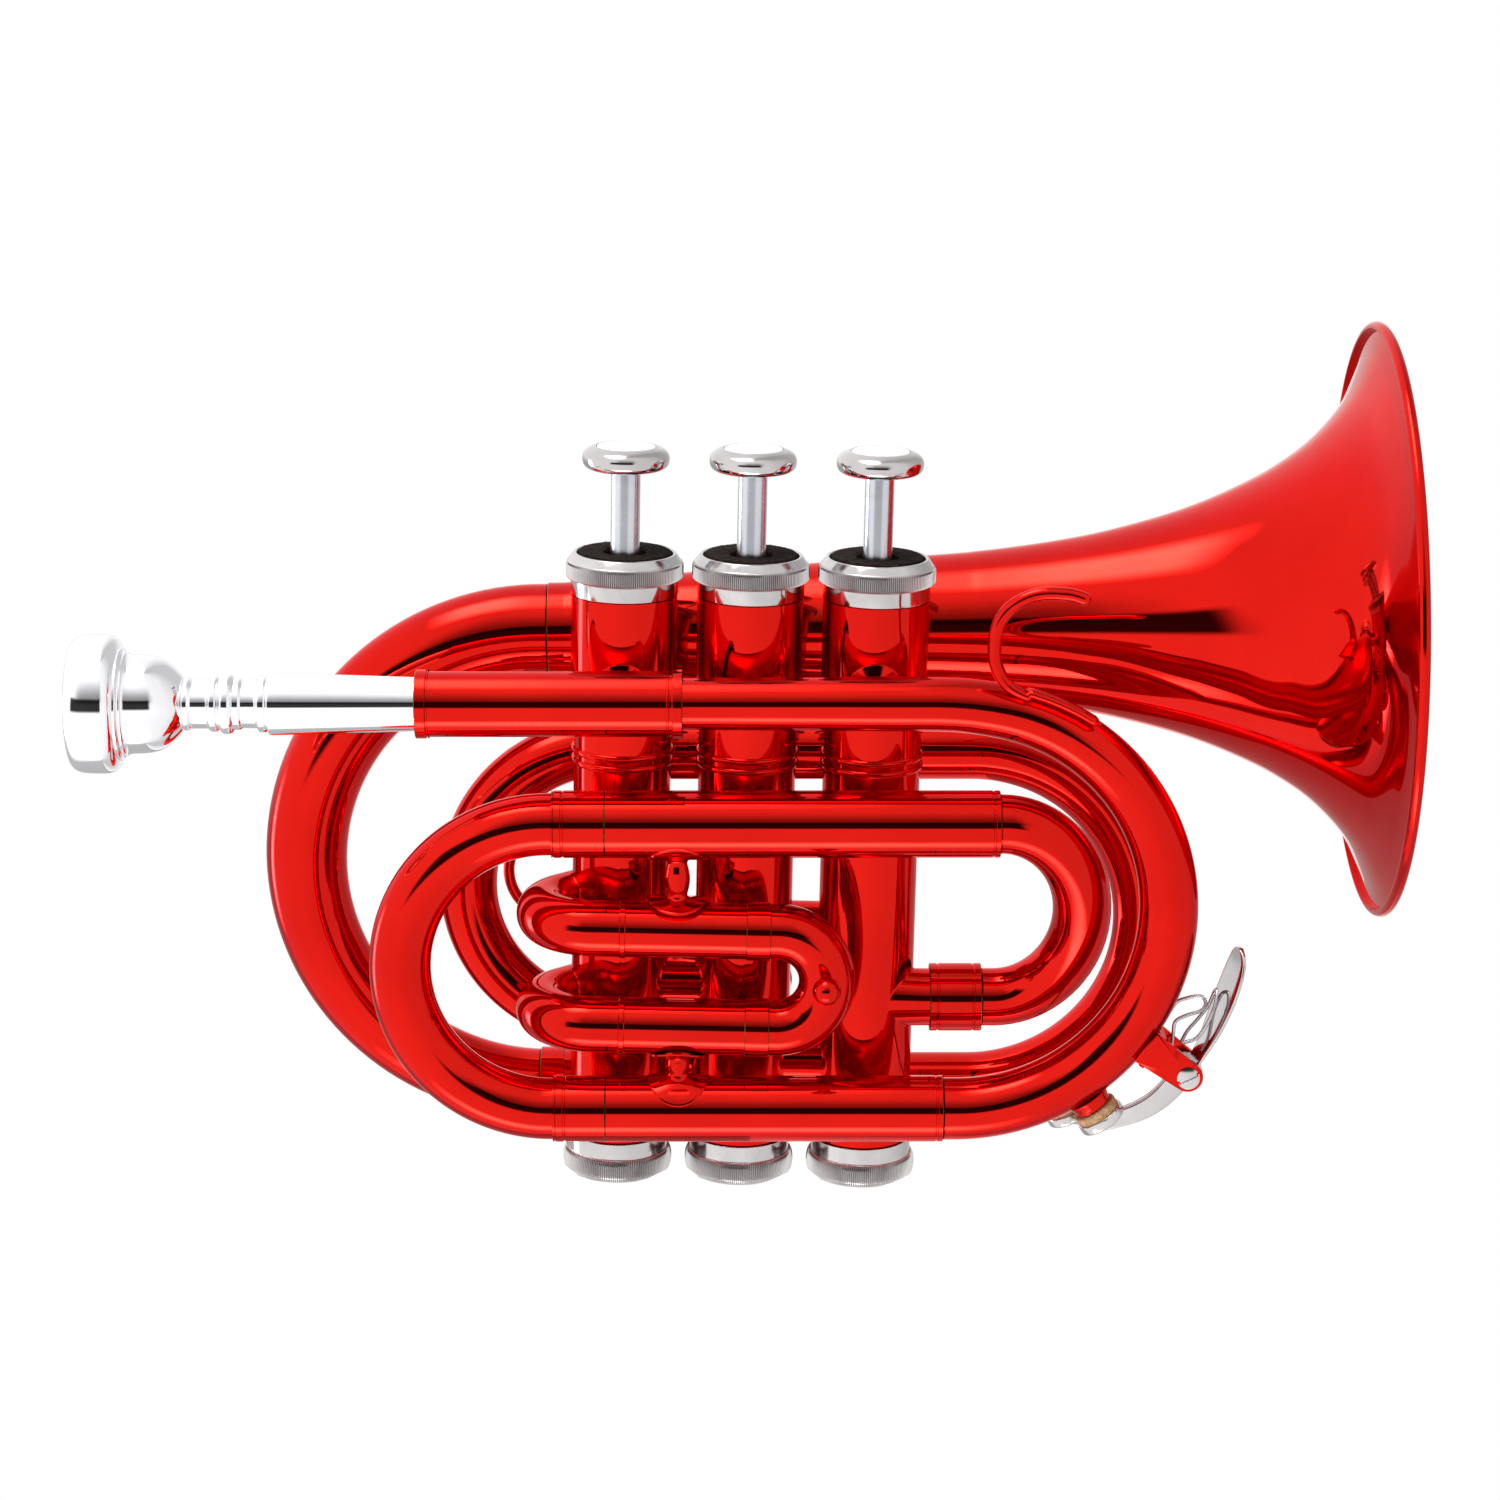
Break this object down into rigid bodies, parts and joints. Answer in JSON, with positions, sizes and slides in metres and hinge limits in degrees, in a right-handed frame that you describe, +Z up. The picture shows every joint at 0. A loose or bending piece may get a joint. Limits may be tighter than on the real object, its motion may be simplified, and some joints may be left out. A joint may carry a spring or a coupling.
{
  "type": "pocket trumpet",
  "caption": "Pocket trumpet in clear candy-red lacquer with a silver mouthpiece, nickel valve caps and buttons, piston valves, pulling slides and a water key.",
  "frame": {"origin": "centre of the flat foot under the middle valve's bottom cap", "axes": "+X from the mouthpiece to the bell, +Y from the player's right-hand side to the back of the wrap, +Z up along the valves"},
  "size_m": [0.2642, 0.1224, 0.1735],
  "materials": {
    "red_lacquer": "glossy transparent candy-red lacquer over brass",
    "nickel_plate": "polished nickel plate, knurled on the caps",
    "silver_plate": "polished silver plate",
    "spring_steel": "bright drawn wire",
    "black_felt": "dense wool felt",
    "cork": "fine natural cork",
    "guide_nylon": "moulded nylon"
  },
  "bodies": {
    "horn": {"valve_casing_1": "red_lacquer", "valve_casing_2": "red_lacquer", "valve_casing_3": "red_lacquer", "knuckle_1_2": "red_lacquer", "knuckle_2_3": "red_lacquer", "first_slide_sleeve_upper": "red_lacquer", "first_slide_sleeve_lower": "red_lacquer", "third_slide_sleeve_upper": "red_lacquer", "third_slide_sleeve_lower": "red_lacquer", "mouthpiece_receiver": "red_lacquer", "leadpipe": "red_lacquer", "tuning_sleeve_upper": "red_lacquer", "tuning_sleeve_lower": "red_lacquer", "return_bow": "red_lacquer", "entry_elbow": "red_lacquer", "bell": "red_lacquer", "bell_bow": "red_lacquer", "bell_branch": "red_lacquer", "valve_bow": "red_lacquer", "finger_hook": "red_lacquer", "leadpipe_brace_1": "red_lacquer", "leadpipe_brace_3": "red_lacquer", "bell_brace": "red_lacquer", "slide_brace_upper": "red_lacquer", "slide_brace_lower": "red_lacquer", "water_key_saddle": "red_lacquer", "bottom_cap_1": "nickel_plate", "bottom_cap_2": "nickel_plate", "bottom_cap_3": "nickel_plate", "top_cap_1": "nickel_plate", "top_cap_2": "nickel_plate", "top_cap_3": "nickel_plate", "water_key_screw": "nickel_plate", "valve_spring_1": "spring_steel", "valve_spring_2": "spring_steel", "valve_spring_3": "spring_steel", "water_key_spring": "spring_steel", "cap_felt_1": "black_felt", "cap_felt_2": "black_felt", "cap_felt_3": "black_felt", "valve_guide_1": "guide_nylon", "valve_guide_2": "guide_nylon", "valve_guide_3": "guide_nylon"},
    "mouthpiece": {"mouthpiece": "silver_plate"},
    "tuning_slide": {"tuning_slide": "red_lacquer"},
    "first_slide": {"first_slide": "red_lacquer"},
    "second_slide": {"second_slide": "red_lacquer"},
    "third_slide": {"third_slide": "red_lacquer"},
    "water_key": {"water_key_lever": "silver_plate", "water_key_cork_front": "cork", "water_key_cork_rear": "cork"},
    "valve_1": {"piston_1": "nickel_plate", "valve_stem_1": "nickel_plate", "finger_button_1": "nickel_plate"},
    "valve_2": {"piston_2": "nickel_plate", "valve_stem_2": "nickel_plate", "finger_button_2": "nickel_plate"},
    "valve_3": {"piston_3": "nickel_plate", "valve_stem_3": "nickel_plate", "finger_button_3": "nickel_plate"}
  },
  "joints": [
    {"name": "mouthpiece_pull", "type": "slide", "parent": "horn", "child": "mouthpiece", "axis": [-1, 0, 0], "range_m": [0, 0.022]},
    {"name": "tuning_slide_pull", "type": "slide", "parent": "horn", "child": "tuning_slide", "axis": [-1, 0, 0], "range_m": [0, 0.035]},
    {"name": "first_slide_pull", "type": "slide", "parent": "horn", "child": "first_slide", "axis": [0.9998, 0, -0.0208], "range_m": [0, 0.005]},
    {"name": "second_slide_pull", "type": "slide", "parent": "horn", "child": "second_slide", "axis": [0, 1, 0], "range_m": [0, 0.012]},
    {"name": "third_slide_pull", "type": "slide", "parent": "horn", "child": "third_slide", "axis": [-0.9998, 0, 0.0208], "range_m": [0, 0.0136]},
    {"name": "valve_1_press", "type": "slide", "parent": "horn", "child": "valve_1", "axis": [-0.0208, 0, -0.9998], "range_m": [0, 0.0162], "stiffness_N_per_m": 140, "springref_m": -0.014, "deforming": ["valve_spring_1"]},
    {"name": "valve_2_press", "type": "slide", "parent": "horn", "child": "valve_2", "axis": [-0.0208, 0, -0.9998], "range_m": [0, 0.0162], "stiffness_N_per_m": 140, "springref_m": -0.014, "deforming": ["valve_spring_2"]},
    {"name": "valve_3_press", "type": "slide", "parent": "horn", "child": "valve_3", "axis": [-0.0208, 0, -0.9998], "range_m": [0, 0.0162], "stiffness_N_per_m": 140, "springref_m": -0.014, "deforming": ["valve_spring_3"]},
    {"name": "water_key_hinge", "type": "hinge", "parent": "horn", "child": "water_key", "pos_m": [0.08966, -0.0205, 0.02976], "axis": [0, -1, 0], "range_deg": [0, 16], "stiffness_Nm_per_rad": 0.03, "springref_deg": -28.65}
  ]
}
